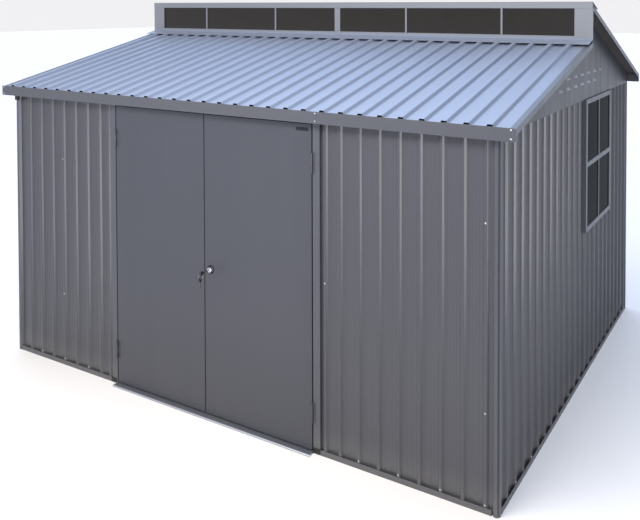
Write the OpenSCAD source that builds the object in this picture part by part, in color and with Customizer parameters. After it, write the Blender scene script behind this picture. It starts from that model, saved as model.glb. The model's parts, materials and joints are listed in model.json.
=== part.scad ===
// Garden shed of ribbed steel sheet on channel rails, with a strip of roof
// windows between its two roof slopes, a pair of flat doors in front and a
// four-pane window in the right wall. Millimetres, +Z up, front towards -Y.
// No floor: the base rails stand on the ground.

/* [Body] */
// width over the corner posts
body_w = 3454; // [3200:10:4000]
// depth over the corner posts
body_d = 2670; // [2600:10:3300]
// height of the side walls
wall_h = 1736; // [1736:2:1760]
// thickness of the steel sheet
sheet_t = 1.2; // [0.8:0.1:1.4]
// width of a corner post's leg
corner_leg = 38; // [34:1:44]

/* [Ribs] */
// distance from rib to rib
pitch = 113; // [100:1:130]
// width of a wall rib at its foot
wall_rib_w = 30; // [24:1:34]
// width of a wall rib's crown
wall_crown_w = 14; // [8:1:18]
// width of a roof rib at its foot
roof_rib_w = 40; // [30:1:46]
// width of a roof rib's crown
roof_crown_w = 24; // [16:1:26]
// height of a roof rib
roof_rib_h = 16; // [10:1:18]

/* [Roof] */
// overhang of both roofs at each side
side_over = 83; // [60:1:120]
// reach of the front eave past the wall
front_over = 40; // [34:1:44]
// reach of the rear eave past the wall
rear_over = 22; // [18:1:40]
// height of the front eave's top
eave_z = 1782; // [1776:1:1800]
// underside of the rear roof at its eave
rear_eave_z = 1797; // [1790:1:1820]
// height of an eave board
fascia_h = 62; // [50:1:62]
// how far an eave board stands up in front of the roof sheet
lip = 8; // [2:1:10]
// how far the front roof climbs for each mm back
front_slope = 0.2428; // [0.22:0.001:0.26]

/* [Roof window strip] */
// distance of the strip from the front wall
strip_y = 1294; // [1200:2:1400]
// bottom of the panes
pane_low = 2135; // [2130:1:2150]
// top of the panes
pane_top = 2301; // [2280:1:2310]
// underside of the rear roof at the strip
ridge_z = 2318; // [2310:1:2330]
// width of an end post
strip_post_w = 110; // [80:1:130]
// outer pane bar from the middle
bar_far = 1236; // [1200:2:1270]
// inner pane bar from the middle
bar_near = 553; // [500:2:600]
// width of a pane bar
bar_w = 12; // [8:1:20]
// width of the double bar in the middle
bar_mid_w = 46; // [30:1:60]

/* [Doors] */
// line of the left gap
door_x0 = -757; // [-800:1:-740]
// line of the right gap
door_x1 = 700; // [680:1:740]
// line where the leaves meet
seam_x = -41.5; // [-60:0.5:0]
// gap beside the leaves
door_gap = 8; // [6:0.5:10]
// gap between the leaves
seam_gap = 7; // [6:0.5:10]
// top of the leaves
door_top = 1708; // [1690:1:1710]
// bottom of the leaves
door_low = 14; // [13:0.5:18]
// thickness of a leaf
leaf_t = 22; // [16:1:26]
// width of a door post's face
jamb_w = 43; // [36:1:46]
// height of the ramp at the doorway
ramp_h = 8; // [5:0.5:8]
// depth of the ramp in front of the wall
ramp_out = 39; // [30:1:45]

/* [Hinges] */
// height of the upper hinges
hinge_hi = 1510; // [1450:5:1560]
// height of the lower hinges
hinge_lo = 212; // [180:2:260]
// length of a hinge
hinge_len = 105; // [80:1:130]
// width of one hinge plate from the pin's axis
hinge_w = 18; // [18:1:30]
// radius of a hinge knuckle
knuckle_r = 6; // [5:0.5:7]
// radius of the hinge pin
pin_r = 3; // [2:0.5:4]

/* [Side window] */
// near edge of the glass from the front wall
glass_y0 = 1479; // [1440:1:1500]
// far edge of the glass
glass_y1 = 2063; // [2000:1:2100]
// bottom of the glass
glass_z0 = 936; // [900:2:1000]
// top of the glass
glass_z1 = 1706; // [1650:1:1706]
// height of the rail across the middle
window_rail_h = 30; // [20:1:50]
// width of the bar up the middle
window_bar_w = 14; // [10:1:24]

/* [Lock] */
// height of the lock
lock_z = 838; // [800:2:900]
// radius of the lock's rose
lock_r = 23; // [18:0.5:26]
// reach of the key in front of the wall
key_out = 86; // [80:1:100]

/* [Hidden] */
seat = 0.3;
rail_t = 1.5;
half_w = body_w / 2;
wall_rib_h = 13;
crown_y = 2 * rail_t + seat;
pan_y = crown_y + wall_rib_h;
inner_y = pan_y + sheet_t;
flange_y = inner_y + seat;
web_y = flange_y + rail_t;
verge_x = half_w + side_over;
face_y = 1.5;
front_a = atan(front_slope);
rear_slope = (ridge_z - rear_eave_z) / (body_d + rear_over - 8 - strip_y);
rear_a = atan(rear_slope);
front_y = (key_out - body_d - rear_over) / 2;
back_y = front_y + body_d;
crown_n = sheet_t + roof_rib_h;
front_start = sheet_t + seat + crown_n * sin(front_a) - front_over;
rear_end = body_d + rear_over - sheet_t - seat - crown_n * sin(rear_a);
rafter_h = 18;
hinge_y = -5;
side_first = 4;
left_x = door_x0 - door_gap / 2;
right_x = door_x1 + door_gap / 2;

function front_under(y) = eave_z - lip + seat + front_slope * (y - front_start);
function rear_under(y) = ridge_z - rear_slope * (y - strip_y);
function ribs(first, x0, x1, foot) =
    [for (c = [first : pitch : x1 - foot / 2 - 1]) if (c - foot / 2 - 1 >= x0) c];
function lean(foot, crown, high) =
    sheet_t * (norm([(foot - crown) / 2, high]) - (foot - crown) / 2) / high;

// where the walls stand: x along the wall, y inwards
module on_front() {
    translate([0, front_y, 0])
        children();
}

module on_back() {
    translate([0, back_y, 0])
        rotate([0, 0, 180])
            children();
}

module on_right() {
    translate([half_w, front_y, 0])
        rotate([0, 0, 90])
            children();
}

module on_left() {
    mirror([1, 0, 0])
        on_right()
            children();
}

// a section drawn as depth and height, run along the wall
module run(x0, x1) {
    translate([x0, 0, 0])
        rotate([90, 0, 90])
            linear_extrude(x1 - x0)
                children();
}

// ribbed sheet seen on edge: outer face at y = face, ribs towards -y
module rib_section(x0, x1, at, face, foot, crown, high) {
    in = lean(foot, crown, high);
    polygon(concat(
        [[x0, face]],
        [for (c = at) each [[c - foot / 2, face], [c - crown / 2, face - high],
                            [c + crown / 2, face - high], [c + foot / 2, face]]],
        [[x1, face], [x1, face + sheet_t]],
        [for (i = [len(at) - 1 : -1 : 0]) each
            [[at[i] + foot / 2 - in, face + sheet_t],
             [at[i] + crown / 2 - in, face + sheet_t - high],
             [at[i] - crown / 2 + in, face + sheet_t - high],
             [at[i] - foot / 2 + in, face + sheet_t]]],
        [[x0, face + sheet_t]]));
}

module wall_sheet(x0, x1, at, low, top) {
    translate([0, 0, low])
        linear_extrude(top - low)
            rib_section(x0, x1, at, pan_y, wall_rib_w, wall_crown_w, wall_rib_h);
}

// base rail: a channel that takes the foot of the sheet
module rail_section() {
    polygon([[rail_t, 0], [web_y, 0], [web_y, 50], [flange_y, 50],
             [flange_y, rail_t], [2 * rail_t, rail_t], [2 * rail_t, 28],
             [rail_t, 28]]);
}

module base_front() {
    color("#6d6e75")
        on_front() {
            run(-half_w + corner_leg + seat, left_x - jamb_w - seat)
                rail_section();
            run(right_x + jamb_w + seat, half_w - corner_leg - seat)
                rail_section();
        }
}

module base_back() {
    color("#6d6e75")
        on_back()
            run(-half_w + corner_leg + seat, half_w - corner_leg - seat)
                rail_section();
}

module base_sides() {
    color("#6d6e75") {
        on_right()
            run(corner_leg + seat, body_d - corner_leg - seat)
                rail_section();
        on_left()
            run(corner_leg + seat, body_d - corner_leg - seat)
                rail_section();
    }
}

// corner post: folded trim with a hollow corner and sloped flanks that run
// back to the sheet, like half a rib on each side
module corner_section() {
    hollow = 9;
    flank = 10;
    deep = pan_y - seat;
    across = sheet_t * norm([flank, deep]) / deep;
    half = [[hollow, hollow], [hollow, 0], [corner_leg - flank, 0],
            [corner_leg, deep], [corner_leg - across, deep],
            [corner_leg - flank + flank * sheet_t / deep - across, sheet_t],
            [hollow + sheet_t, sheet_t], [hollow + sheet_t, hollow + sheet_t]];
    polygon(concat(half, [for (i = [6 : -1 : 1]) [half[i][1], half[i][0]]]));
}

module corner_posts() {
    color("#77787e")
        for (sx = [-1, 1])
            for (sy = [0, 1])
                translate([sx * half_w, sy == 0 ? front_y : back_y, 0])
                    mirror([sx > 0 ? 1 : 0, 0, 0])
                        mirror([0, sy, 0])
                            linear_extrude(wall_h)
                                corner_section();
}

// ribbed sheets either side of the doorway
module front_wall() {
    end = half_w - rail_t - sheet_t - seat;
    color("#6b6b71")
        on_front() {
            wall_sheet(-end, left_x - jamb_w + 14,
                concat(ribs(-1594, -half_w + corner_leg, left_x - jamb_w - 40,
                    wall_rib_w), [left_x - jamb_w - 27]),
                rail_t + seat, eave_z - 4);
            wall_sheet(right_x + jamb_w - 14, end,
                concat([right_x + jamb_w + 29], ribs(865, right_x + jamb_w + 50,
                    half_w - corner_leg, wall_rib_w)),
                rail_t + seat, eave_z - 4);
        }
}

module back_wall() {
    end = half_w - rail_t - sheet_t - seat;
    color("#6b6b71")
        on_back()
            wall_sheet(-end, end,
                ribs(-15 * pitch + 56, -half_w + corner_leg,
                    half_w - corner_leg, wall_rib_w),
                rail_t + seat, rear_eave_z - 6);
}

module left_wall() {
    color("#6b6b71")
        on_left()
            wall_sheet(web_y + seat, body_d - web_y - seat,
                ribs(side_first + pitch, corner_leg, body_d - corner_leg,
                    wall_rib_w),
                rail_t + seat, wall_h);
}

// right wall in front of the window and behind it
module right_wall_sides() {
    color("#6b6b71")
        on_right() {
            wall_sheet(web_y + seat, glass_y0 - 30 - seat,
                ribs(side_first + pitch, corner_leg, glass_y0 - 30,
                    wall_rib_w),
                rail_t + seat, wall_h);
            wall_sheet(glass_y1 + 30 + seat, body_d - web_y - seat,
                ribs(side_first + pitch, glass_y1 + 30, body_d - corner_leg,
                    wall_rib_w),
                rail_t + seat, wall_h);
        }
}

module right_wall_below() {
    color("#6b6b71")
        on_right()
            wall_sheet(glass_y0 - 30, glass_y1 + 30,
                ribs(side_first + pitch, glass_y0 - 30, glass_y1 + 30,
                    wall_rib_w),
                rail_t + seat, glass_z0 - 30 - seat);
}

// flat sheet closing a side wall up to both roofs, with a ledge over the ribs
module gable_sheet() {
    run_t = sheet_t;
    translate([0, rail_t + run_t, 0])
        rotate([90, 0, 0])
            linear_extrude(run_t)
                polygon([[0, wall_h + seat], [body_d, wall_h + seat],
                         [body_d, rear_under(body_d) - seat],
                         [strip_y + 4.5, rear_under(strip_y + 4.5) - seat],
                         [strip_y + 4.5, front_under(strip_y + 4.5) - seat],
                         [0, front_under(0) - seat]]);
    translate([web_y + seat, rail_t, wall_h + seat])
        cube([body_d - 2 * web_y - 2 * seat, web_y - rail_t, sheet_t]);
}

module gable_left() {
    color("#74757b")
        on_left()
            gable_sheet();
}

module gable_right() {
    color("#74757b")
        on_right()
            gable_sheet();
}

// channels across the inside of the sheets at two heights
module girt(x0, x1, z) {
    run(x0, x1)
        polygon([[flange_y, z - 20], [flange_y + 25, z - 20],
                 [flange_y + 25, z - 18.5], [flange_y + rail_t, z - 18.5],
                 [flange_y + rail_t, z + 18.5], [flange_y + 25, z + 18.5],
                 [flange_y + 25, z + 20], [flange_y, z + 20]]);
}

module wall_girts() {
    end = flange_y + 28;
    color("#8a8c90")
        for (z = [462, 1333]) {
            on_front() {
                girt(-half_w + end, left_x - jamb_w - seat, z);
                girt(right_x + jamb_w + seat, half_w - end, z);
            }
            on_back()
                girt(-half_w + end, half_w - end, z);
            on_left()
                girt(end, body_d - end, z);
            on_right()
                if (z < glass_z0 - 60) {
                    girt(end, body_d - end, z);
                } else {
                    girt(end, glass_y0 - 30 - seat, z);
                    girt(glass_y1 + 30 + seat, body_d - end, z);
                }
        }
}

// angle along the top of each wall
module rail_top(x0, x1, z) {
    run(x0, x1)
        polygon([[flange_y, z - 46], [web_y, z - 46], [web_y, z - rail_t],
                 [flange_y + 30, z - rail_t], [flange_y + 30, z],
                 [flange_y, z]]);
}

module top_rails() {
    end = flange_y + 30 + seat;
    color("#8a8c90") {
        on_front()
            rail_top(-half_w + web_y, half_w - web_y,
                front_under(flange_y) - rafter_h - 2 * seat);
        on_back()
            rail_top(-half_w + web_y, half_w - web_y,
                rear_under(body_d - flange_y) - rafter_h - 2 * seat);
        on_left()
            rail_top(end, body_d - end, wall_h);
        on_right()
            rail_top(end, body_d - end, wall_h);
    }
}

// rafters: two against the gable sheets and one in the middle
module slope_bar(y0, y1, z0, z1, x, wide, high) {
    translate([x - wide / 2, 0, 0])
        rotate([90, 0, 90])
            linear_extrude(wide)
                polygon([[y0, z0 - high], [y1, z1 - high], [y1, z1], [y0, z0]]);
}

module rafters_front() {
    y0 = flange_y;
    y1 = strip_y - 62;
    color("#8a8c90")
        on_front()
            for (x = [-half_w + 36, 0, half_w - 36])
                slope_bar(y0, y1, front_under(y0) - seat, front_under(y1) - seat,
                    x, 30, rafter_h);
}

module rafters_rear() {
    y0 = strip_y + 29;
    y1 = body_d - flange_y;
    color("#8a8c90")
        on_front()
            for (x = [-half_w + 36, 0, half_w - 36])
                slope_bar(y0, y1, rear_under(y0) - seat, rear_under(y1) - seat,
                    x, 30, rafter_h);
}

// box beams under the roof window strip and under the rear roof's top edge
module roof_beams() {
    low_y = strip_y - 60;
    reach = half_w - rail_t - sheet_t - seat;
    color("#8a8c90")
        on_front() {
            translate([-reach, low_y, front_under(low_y) - seat - 60])
                cube([2 * reach, 40, 60]);
            translate([-reach, strip_y + 7, rear_under(strip_y + 28) - seat - 42])
                cube([2 * reach, 20, 42]);
        }
}

// roof sheets, ribs up the slope
module roof_sheet(slope_len, at) {
    linear_extrude(slope_len)
        rib_section(-verge_x + 2, verge_x - 2, at, -sheet_t, roof_rib_w,
            roof_crown_w, roof_rib_h);
}

module roof_front() {
    run_y = strip_y + 4 - front_start;
    color("#9aa6bd")
        on_front()
            translate([0, front_start, front_under(front_start)])
                rotate([front_a - 90, 0, 0])
                    roof_sheet(run_y / cos(front_a),
                        ribs(109 - 16 * pitch, -verge_x + 34, verge_x - 34,
                            roof_rib_w));
}

module roof_rear() {
    run_y = rear_end - strip_y;
    color("#9aa6bd")
        on_front()
            translate([0, rear_end, rear_under(rear_end)])
                rotate([0, 0, 180])
                    rotate([rear_a - 90, 0, 0])
                        roof_sheet(run_y / cos(rear_a),
                            ribs(-109 - 14 * pitch, -verge_x + 34,
                                verge_x - 34, roof_rib_w));
}

// folded edge trims along both sides of both roofs
module verge(y0, y1, z0, z1) {
    top = sheet_t + seat;
    for (sx = [-1, 1])
        mirror([sx > 0 ? 0 : 1, 0, 0]) {
            slope_bar(y0, y1, z0 + top + sheet_t, z1 + top + sheet_t,
                verge_x - sheet_t / 2, sheet_t, 30 + top);
            slope_bar(y0, y1, z0 + top + sheet_t, z1 + top + sheet_t,
                verge_x - 14, 28, sheet_t);
        }
}

module verge_trims() {
    y1 = strip_y + 4;
    y2 = strip_y + 5;
    color("#8e9199")
        on_front() {
            verge(front_start, y1, front_under(front_start), front_under(y1));
            verge(y2, rear_end, rear_under(y2), rear_under(rear_end));
        }
}

// eave boards: a plate that stands up in front of the roof sheet, a flange
// under it and a shelf for the sheet, boxed in where it overhangs the walls
module fascia(reach, top) {
    low = top - fascia_h;
    end = verge_x - sheet_t - seat;
    translate([-end, -reach, low])
        cube([2 * end, sheet_t, fascia_h]);
    for (z = [low, top - lip - sheet_t])
        translate([-end, -reach, z])
            cube([2 * end, reach - seat, sheet_t]);
    for (side = [0, 1])
        mirror([side, 0, 0]) {
            translate([end - sheet_t, -reach, low])
                cube([sheet_t, reach - seat, fascia_h - lip]);
            translate([half_w + seat, -seat - sheet_t, low])
                cube([end - half_w - seat, sheet_t, fascia_h - lip]);
        }
}

module front_fascia() {
    color("#7d7f87")
        on_front()
            fascia(front_over, eave_z);
}

module rear_fascia() {
    color("#7d7f87")
        on_back()
            fascia(rear_over, rear_under(rear_end) - seat + lip);
}

// flashing in front of the strip, lying on the roof ribs
module strip_flashing() {
    y0 = strip_y - 102;
    y1 = strip_y - 9;
    lift = (crown_n + seat) / cos(front_a) + sheet_t;
    color("#8fa0bd")
        on_front() {
            slope_bar(y0, y1, front_under(y0) + lift, front_under(y1) + lift,
                0, 2 * verge_x, sheet_t);
            translate([-verge_x, y1, front_under(y1) + lift - sheet_t])
                cube([2 * verge_x, sheet_t, 12]);
        }
}

// sill that the panes stand on
module strip_sill() {
    low = front_under(strip_y) + (crown_n + seat) / cos(front_a);
    color("#a0a2a8")
        on_front()
            translate([-verge_x + strip_post_w + seat, strip_y - 7.5, low])
                difference() {
                    cube([2 * (verge_x - strip_post_w - seat), 12,
                        pane_low - low]);
                    translate([-1, 8.5, pane_low - low - 6])
                        cube([2 * verge_x, 4, 7]);
                }
}

// end posts, open at the back
module strip_posts() {
    low = front_under(strip_y + 4) + (crown_n + seat) / cos(front_a);
    color("#a0a2a8")
        on_front()
            for (sx = [-1, 1])
                mirror([sx > 0 ? 0 : 1, 0, 0])
                    translate([verge_x - strip_post_w, strip_y - 7.5, low])
                        linear_extrude(pane_top - seat - low)
                            polygon([[0, 0], [strip_post_w, 0],
                                     [strip_post_w, 12],
                                     [strip_post_w - sheet_t, 12],
                                     [strip_post_w - sheet_t, sheet_t],
                                     [sheet_t, sheet_t], [sheet_t, 12],
                                     [0, 12]]);
}

// bars between the panes
module strip_bars() {
    color("#a9abb0")
        on_front()
            for (b = [[-bar_far, bar_w], [-bar_near, bar_w], [0, bar_mid_w],
                      [bar_near, bar_w], [bar_far, bar_w]])
                translate([b[0] - b[1] / 2, strip_y - 6, pane_low + seat])
                    cube([b[1], 6.7, pane_top - pane_low - 2 * seat]);
}

// cap over the panes and over the top edge of the rear roof
module strip_head() {
    lift = (crown_n + seat) / cos(rear_a);
    y0 = strip_y - 9;
    y1 = strip_y + 112;
    color("#a0a2a8")
        on_front()
            run(-verge_x, verge_x)
                polygon([[y0, pane_top], [strip_y - 0.5, pane_top],
                         [strip_y - 0.5, pane_top + sheet_t],
                         [y0 + sheet_t, pane_top + sheet_t],
                         [y0 + sheet_t, rear_under(y0 + sheet_t) + lift],
                         [y1, rear_under(y1) + lift],
                         [y1, rear_under(y1) + lift + sheet_t],
                         [y0, rear_under(y0) + lift + sheet_t]]);
}

module strip_glass() {
    color([0.16, 0.13, 0.11, 0.9])
        on_front()
            translate([-verge_x + strip_post_w + 2, strip_y + 1, pane_low - 6 + seat])
                cube([2 * (verge_x - strip_post_w - 2), 3,
                    rear_under(strip_y + 4) - seat - pane_low + 5]);
}

// window frame: a casing proud of the ribs, a rail and a bar across it
module window_frame() {
    mid_z = (glass_z0 + glass_z1) / 2 + 6;
    mid_y = (glass_y0 + glass_y1) / 2;
    color("#83868c")
        on_right()
            difference() {
                translate([glass_y0 - 30, -8, glass_z0 - 30])
                    cube([glass_y1 - glass_y0 + 60, 8 + inner_y, glass_z1 - glass_z0 + 60]);
                translate([glass_y0 - 15, -2, glass_z0 - 15])
                    cube([glass_y1 - glass_y0 + 30, 40, glass_z1 - glass_z0 + 30]);
                for (x = [[glass_y0, mid_y - window_bar_w / 2],
                          [mid_y + window_bar_w / 2, glass_y1]])
                    for (z = [[glass_z0, mid_z - window_rail_h / 2],
                              [mid_z + window_rail_h / 2, glass_z1]])
                        translate([x[0], -20, z[0]])
                            cube([x[1] - x[0], 60, z[1] - z[0]]);
            }
}

module window_glass() {
    color([0.1, 0.12, 0.12, 0.6])
        on_right()
            translate([glass_y0 - 15 + seat, seat - 2, glass_z0 - 15 + seat])
                cube([glass_y1 - glass_y0 + 30 - 2 * seat, 4,
                    glass_z1 - glass_z0 + 30 - 2 * seat]);
}

// posts either side of the doorway
module jamb_section() {
    polygon([[0, face_y], [jamb_w, face_y], [jamb_w, pan_y - seat],
             [jamb_w - sheet_t, pan_y - seat],
             [jamb_w - sheet_t, face_y + sheet_t],
             [sheet_t, face_y + sheet_t], [sheet_t, 46], [jamb_w, 46],
             [jamb_w, 46 + sheet_t], [0, 46 + sheet_t]]);
}

module door_jambs() {
    top = eave_z - fascia_h - 6;
    color("#7a7b81")
        on_front() {
            translate([left_x, 0, 0])
                mirror([1, 0, 0])
                    linear_extrude(top)
                        jamb_section();
            translate([right_x, 0, 0])
                linear_extrude(top)
                    jamb_section();
        }
}

// channel across the top of the doorway, behind the eave board
module door_header() {
    low = eave_z - fascia_h - 6 + seat;
    color("#7a7b81")
        on_front()
            run(left_x - jamb_w, right_x + jamb_w)
                polygon([[face_y, low], [face_y + 14, low],
                         [face_y + 14, low + sheet_t],
                         [face_y + sheet_t, low + sheet_t],
                         [face_y + sheet_t, eave_z - 6],
                         [face_y, eave_z - 6]]);
}

// low ramp in front of the doors, carried in under the leaves
module threshold() {
    color("#c3c6cc")
        on_front()
            run(left_x + seat, right_x - seat)
                polygon([[-ramp_out, 0], [46, 0], [46, ramp_h],
                         [6 - ramp_out, ramp_h], [-ramp_out, 3]]);
}

// plastic plugs at the feet of the door posts and under the eave board
module end_caps() {
    color("#17181a")
        on_front() {
            for (x = [left_x - jamb_w - 8, right_x])
                translate([x, -2, 4])
                    cube([jamb_w, face_y + 2 - seat, 27]);
            translate([15 - half_w, -16, eave_z - fascia_h - 32])
                cube([28, 16 - seat, 32 - seat]);
        }
}

// hinge leaves and knuckles; the pin belongs to the fixed half
module knuckle(low, high, r) {
    translate([0, hinge_y, low])
        cylinder(h = high - low, r = r, $fn = 48);
}

module fixed_hinge(z) {
    third = hinge_len / 3;
    for (low = [z - hinge_len / 2, z + third / 2 + seat])
        difference() {
            union() {
                knuckle(low, low + third - seat, knuckle_r);
                translate([-hinge_w, face_y - seat - 1.5, low])
                    cube([hinge_w, 1.5, third - seat]);
            }
            knuckle(low - 1, low + third + 1, pin_r);
        }
    translate([-hinge_w, face_y - seat - 1.5, z - hinge_len / 2])
        cube([6, 1.5, hinge_len]);
    knuckle(z - hinge_len / 2, z + hinge_len / 2, pin_r);
}

module hinge_fixed() {
    color("#8f9196")
        on_front()
            for (z = [hinge_lo, hinge_hi]) {
                translate([door_x0, 0, 0])
                    fixed_hinge(z);
                translate([door_x1, 0, 0])
                    mirror([1, 0, 0])
                        fixed_hinge(z);
            }
}

module moving_hinge(z) {
    third = hinge_len / 3;
    difference() {
        union() {
            knuckle(z - third / 2 + seat, z + third / 2 - seat, knuckle_r);
            translate([0, face_y - seat - 1.5, z - third / 2 + seat])
                cube([hinge_w, 1.5, third - 2 * seat]);
        }
        knuckle(z - third, z + third, pin_r + 0.3);
    }
    translate([hinge_w - 6, face_y - seat - 1.5, z - hinge_len / 2])
        cube([6, 1.5, hinge_len]);
}

module hinge_left() {
    color("#8f9196")
        on_front()
            translate([door_x0, 0, 0])
                for (z = [hinge_lo, hinge_hi])
                    moving_hinge(z);
}

module hinge_right() {
    color("#8f9196")
        on_front()
            translate([door_x1, 0, 0])
                mirror([1, 0, 0])
                    for (z = [hinge_lo, hinge_hi])
                        moving_hinge(z);
}

// door leaf: a sheet folded back round all four edges
module leaf(x0, x1) {
    translate([x0, face_y, door_low])
        difference() {
            cube([x1 - x0, leaf_t, door_top - door_low]);
            translate([sheet_t, sheet_t, sheet_t])
                cube([x1 - x0 - 2 * sheet_t, leaf_t - 2 * sheet_t,
                    door_top - door_low - 2 * sheet_t]);
            translate([14, sheet_t, 14])
                cube([x1 - x0 - 28, leaf_t, door_top - door_low - 28]);
        }
}

// channels across the inside of a leaf
module stiffeners(x0, x1) {
    for (z = [120, lock_z - 250, lock_z + 200, door_top - 140])
        translate([x0 + sheet_t + seat, face_y + sheet_t + seat, z])
            difference() {
                cube([x1 - x0 - 2 * sheet_t - 2 * seat,
                    leaf_t - 2 * sheet_t - 2 * seat, 40]);
                translate([-1, sheet_t, sheet_t])
                    cube([x1 - x0 + 2, leaf_t, 40 - 2 * sheet_t]);
            }
}

module door_left() {
    color("#6f7076")
        on_front()
            leaf(door_x0 + door_gap / 2, seam_x - seam_gap / 2);
}

module stiffeners_left() {
    color("#8a8c90")
        on_front()
            stiffeners(door_x0 + door_gap / 2, seam_x - seam_gap / 2);
}

module door_right() {
    color("#6f7076")
        on_front()
            leaf(seam_x + seam_gap / 2, door_x1 - door_gap / 2);
}

module stiffeners_right() {
    color("#8a8c90")
        on_front()
            stiffeners(seam_x + seam_gap / 2, door_x1 - door_gap / 2);
}

// round lock on the right leaf, with its barrel and the bolt plate inside
module lock() {
    x = seam_x + 47;
    color("#c9cacd")
        on_front()
            translate([x, face_y - seat, lock_z])
                rotate([90, 0, 0]) {
                    cylinder(h = 8, r = lock_r, $fn = 64);
                    cylinder(h = 15, r = 14, $fn = 48);
                    cylinder(h = 19, r = 9, $fn = 48);
                }
}

// key in the lock and a second key hanging from its ring
module keys() {
    x = seam_x + 47;
    color("#26262a")
        on_front() {
            translate([x - 1.25, 26 - key_out, lock_z - 4])
                cube([2.5, key_out - 26 + face_y - seat - 19.3, 8]);
            translate([x - 2.5, -key_out, lock_z - 12])
                cube([5, 26, 24]);
            translate([x - 11, -key_out, lock_z - 49])
                cube([4, 22, 26]);
            translate([x - 10, 9 - key_out, lock_z - 26])
                cube([11, 4, 16]);
            translate([x - 10.25, 8 - key_out, lock_z - 80])
                cube([2.5, 7, 32]);
        }
}

// small blank plate in the top corner of the right leaf
module badge() {
    color("#1e1f22")
        on_front()
            translate([601, face_y - seat - 1.5, 1672])
                cube([76, 1.5, 17]);
}

base_front();
base_back();
base_sides();
corner_posts();
front_wall();
back_wall();
left_wall();
right_wall_sides();
right_wall_below();
gable_left();
gable_right();
wall_girts();
top_rails();
rafters_front();
rafters_rear();
roof_beams();
roof_front();
roof_rear();
verge_trims();
front_fascia();
rear_fascia();
strip_flashing();
strip_sill();
strip_posts();
strip_bars();
strip_head();
strip_glass();
window_frame();
window_glass();
door_jambs();
door_header();
threshold();
end_caps();
hinge_fixed();
door_left();
stiffeners_left();
hinge_left();
door_right();
stiffeners_right();
hinge_right();
lock();
keys();
badge();
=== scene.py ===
"""A garden shed of coated, roll-formed steel sheet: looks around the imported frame."""

import json
import math

import bmesh
import bpy
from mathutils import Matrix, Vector

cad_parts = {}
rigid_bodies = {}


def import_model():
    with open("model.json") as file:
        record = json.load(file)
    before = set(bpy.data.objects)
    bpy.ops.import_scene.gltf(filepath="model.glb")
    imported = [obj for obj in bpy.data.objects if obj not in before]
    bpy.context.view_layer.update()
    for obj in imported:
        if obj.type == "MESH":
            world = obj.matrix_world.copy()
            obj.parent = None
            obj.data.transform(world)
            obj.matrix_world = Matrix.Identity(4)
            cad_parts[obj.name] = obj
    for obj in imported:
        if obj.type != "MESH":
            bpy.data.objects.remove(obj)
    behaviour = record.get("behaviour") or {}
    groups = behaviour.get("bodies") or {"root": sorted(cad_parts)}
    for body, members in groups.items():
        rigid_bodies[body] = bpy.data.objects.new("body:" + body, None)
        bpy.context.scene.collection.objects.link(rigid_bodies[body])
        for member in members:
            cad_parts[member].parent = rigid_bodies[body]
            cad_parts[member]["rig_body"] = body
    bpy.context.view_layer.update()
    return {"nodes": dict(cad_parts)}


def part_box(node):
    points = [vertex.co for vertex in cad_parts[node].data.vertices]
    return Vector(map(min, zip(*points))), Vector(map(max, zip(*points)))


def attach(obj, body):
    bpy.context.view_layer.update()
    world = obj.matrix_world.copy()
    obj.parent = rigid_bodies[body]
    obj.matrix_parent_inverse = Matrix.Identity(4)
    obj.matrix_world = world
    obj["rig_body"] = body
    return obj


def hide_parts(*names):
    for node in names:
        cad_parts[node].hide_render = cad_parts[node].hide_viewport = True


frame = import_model()
nodes = frame["nodes"]
MM = 0.001

# ---------------------------------------------------------------- Ground and light
# A pale studio floor under an open white sky that turns blue behind it. One
# soft lamp hangs high in front, and two low ones show only as a sheen, so that
# every rib has one bright flank.


def linear(code):
    """An sRGB hex colour as linear red, green, blue and alpha."""
    parts = [int(code[i:i + 2], 16) / 255 for i in (1, 3, 5)]
    return [c / 12.92 if c <= 0.04045 else ((c + 0.055) / 1.055) ** 2.4
            for c in parts] + [1.0]


def put(tree, kind, settings=None, links=None):
    """Adds a shader node; settings name its own options or its sockets. A
    number names a socket by its place: 1 to 4 are the two ranges of a MapRange,
    6 and 7 the two colours of a Mix."""
    made = tree.nodes.new("ShaderNode" + kind)
    for name, value in (settings or {}).items():
        if isinstance(name, str) and hasattr(made, name):
            setattr(made, name, value)
        else:
            made.inputs[name].default_value = value
    for name, source in (links or {}).items():
        tree.links.new(source, made.inputs[name])
    return made


def bare(name, sockets):
    """A new material with its node tree, its surface and the place on it."""
    made = bpy.data.materials.new(name)
    made.use_nodes = True
    tree = made.node_tree
    skin = tree.nodes["Principled BSDF"]
    for socket, value in sockets.items():
        skin.inputs[socket].default_value = value
    return made, tree, skin, put(tree, "TexCoord").outputs["Object"]


def mottled(name, first, second, scale, detail, sockets):
    """A finish that drifts between two tones, in patches of 1 / scale metres."""
    made, tree, skin, where = bare(name, sockets)
    patch = put(tree, "TexNoise", {"Scale": scale, "Detail": detail}, {"Vector": where})
    tone = put(tree, "Mix", {"data_type": "RGBA", 6: linear(first), 7: linear(second)},
               {0: patch.outputs[0]})
    tree.links.new(tone.outputs[2], skin.inputs["Base Color"])
    return made, tree, skin, patch.outputs[0]


def solid(name, points, faces, skin, smooth_angle=30):
    """A closed mesh object at the origin, with its faces turned outwards."""
    mesh = bpy.data.meshes.new(name)
    mesh.from_pydata([tuple(p) for p in points], [], faces)
    shape = bmesh.new()
    shape.from_mesh(mesh)
    bmesh.ops.recalc_face_normals(shape, faces=shape.faces)
    shape.to_mesh(mesh)
    shape.free()
    mesh.materials.append(skin)
    for face in mesh.polygons:
        face.use_smooth = True
    mesh.set_sharp_from_angle(angle=math.radians(smooth_angle))
    made = bpy.data.objects.new(name, mesh)
    bpy.context.scene.collection.objects.link(made)
    return made


posts_low, posts_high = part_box("corner_posts")
half_w = posts_high.x
front_y = posts_low.y
back_y = posts_high.y

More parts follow.
